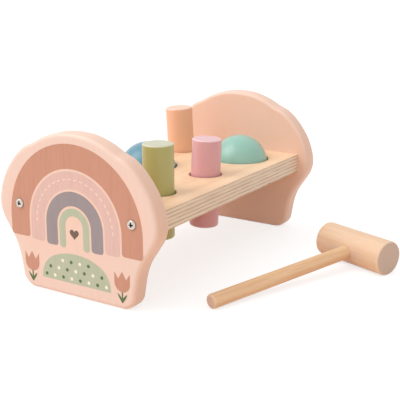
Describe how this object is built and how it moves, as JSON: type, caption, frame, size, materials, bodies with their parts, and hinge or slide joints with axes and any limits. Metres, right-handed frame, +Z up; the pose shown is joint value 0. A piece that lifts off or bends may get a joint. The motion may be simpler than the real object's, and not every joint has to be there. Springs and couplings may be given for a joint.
{
  "type": "peg pounding bench",
  "caption": "Toy pounding bench: a plank between shaped end panels, with pegs and balls gripped in its holes to be knocked through, and a loose mallet.",
  "frame": {"origin": "on the floor, in the middle of the bounding box of the bench and its mallet; the bench's own middle is 50.5 mm to the -X side of it", "axes": "+Z up; +Y along the bench from the front panel to the back panel; +X across the bench, towards the mallet"},
  "size_m": [0.238, 0.2354, 0.1148],
  "materials": {
    "panel_paint": "satin peach paint on beech plywood, printed on the front panel's outer face",
    "birch_plywood": "clear matt lacquer, with the plies showing on the long edges",
    "olive_paint": "satin paint",
    "pink_paint": "satin paint",
    "orange_paint": "satin paint",
    "blue_paint": "satin paint",
    "mint_paint": "satin paint",
    "grip_rubber": "matt",
    "screw_steel": "zinc plated",
    "beech": "fine sanded, clear lacquer"
  },
  "bodies": {
    "bench": {"front_panel": "panel_paint", "back_panel": "panel_paint", "bench_plank": "birch_plywood", "olive_peg_ring": "grip_rubber", "pink_peg_ring": "grip_rubber", "orange_peg_ring": "grip_rubber", "blue_ball_ring": "grip_rubber", "mint_ball_ring": "grip_rubber", "front_screw_left": "screw_steel", "front_screw_right": "screw_steel", "back_screw_left": "screw_steel", "back_screw_right": "screw_steel"},
    "olive_peg": {"olive_peg": "olive_paint"},
    "pink_peg": {"pink_peg": "pink_paint"},
    "orange_peg": {"orange_peg": "orange_paint"},
    "blue_ball": {"blue_ball": "blue_paint"},
    "mint_ball": {"mint_ball": "mint_paint"},
    "mallet": {"mallet_head": "beech", "mallet_handle": "beech"}
  },
  "joints": [
    {"name": "olive_peg_slide", "type": "slide", "parent": "bench", "child": "olive_peg", "axis": [0, 0, 1], "range_m": [-0.0336, 0.0177]},
    {"name": "pink_peg_slide", "type": "slide", "parent": "bench", "child": "pink_peg", "axis": [0.0296, 0.0185, 0.9994], "range_m": [-0.0258, 0.0251]},
    {"name": "orange_peg_slide", "type": "slide", "parent": "bench", "child": "orange_peg", "axis": [-0.0444, -0.0277, 0.9986], "range_m": [-0.0349, 0.0158]},
    {"name": "blue_ball_drop", "type": "slide", "parent": "bench", "child": "blue_ball", "axis": [0, 0, 1], "range_m": [-0.0405, 0.026], "deforming": ["blue_ball_ring"]},
    {"name": "mint_ball_drop", "type": "slide", "parent": "bench", "child": "mint_ball", "axis": [0, 0, 1], "range_m": [-0.0405, 0.026], "deforming": ["mint_ball_ring"]},
    {"name": "mallet_lift", "type": "slide", "parent": "bench", "child": "mallet", "axis": [0, 0, 1], "range_m": [0, 0.12]}
  ]
}
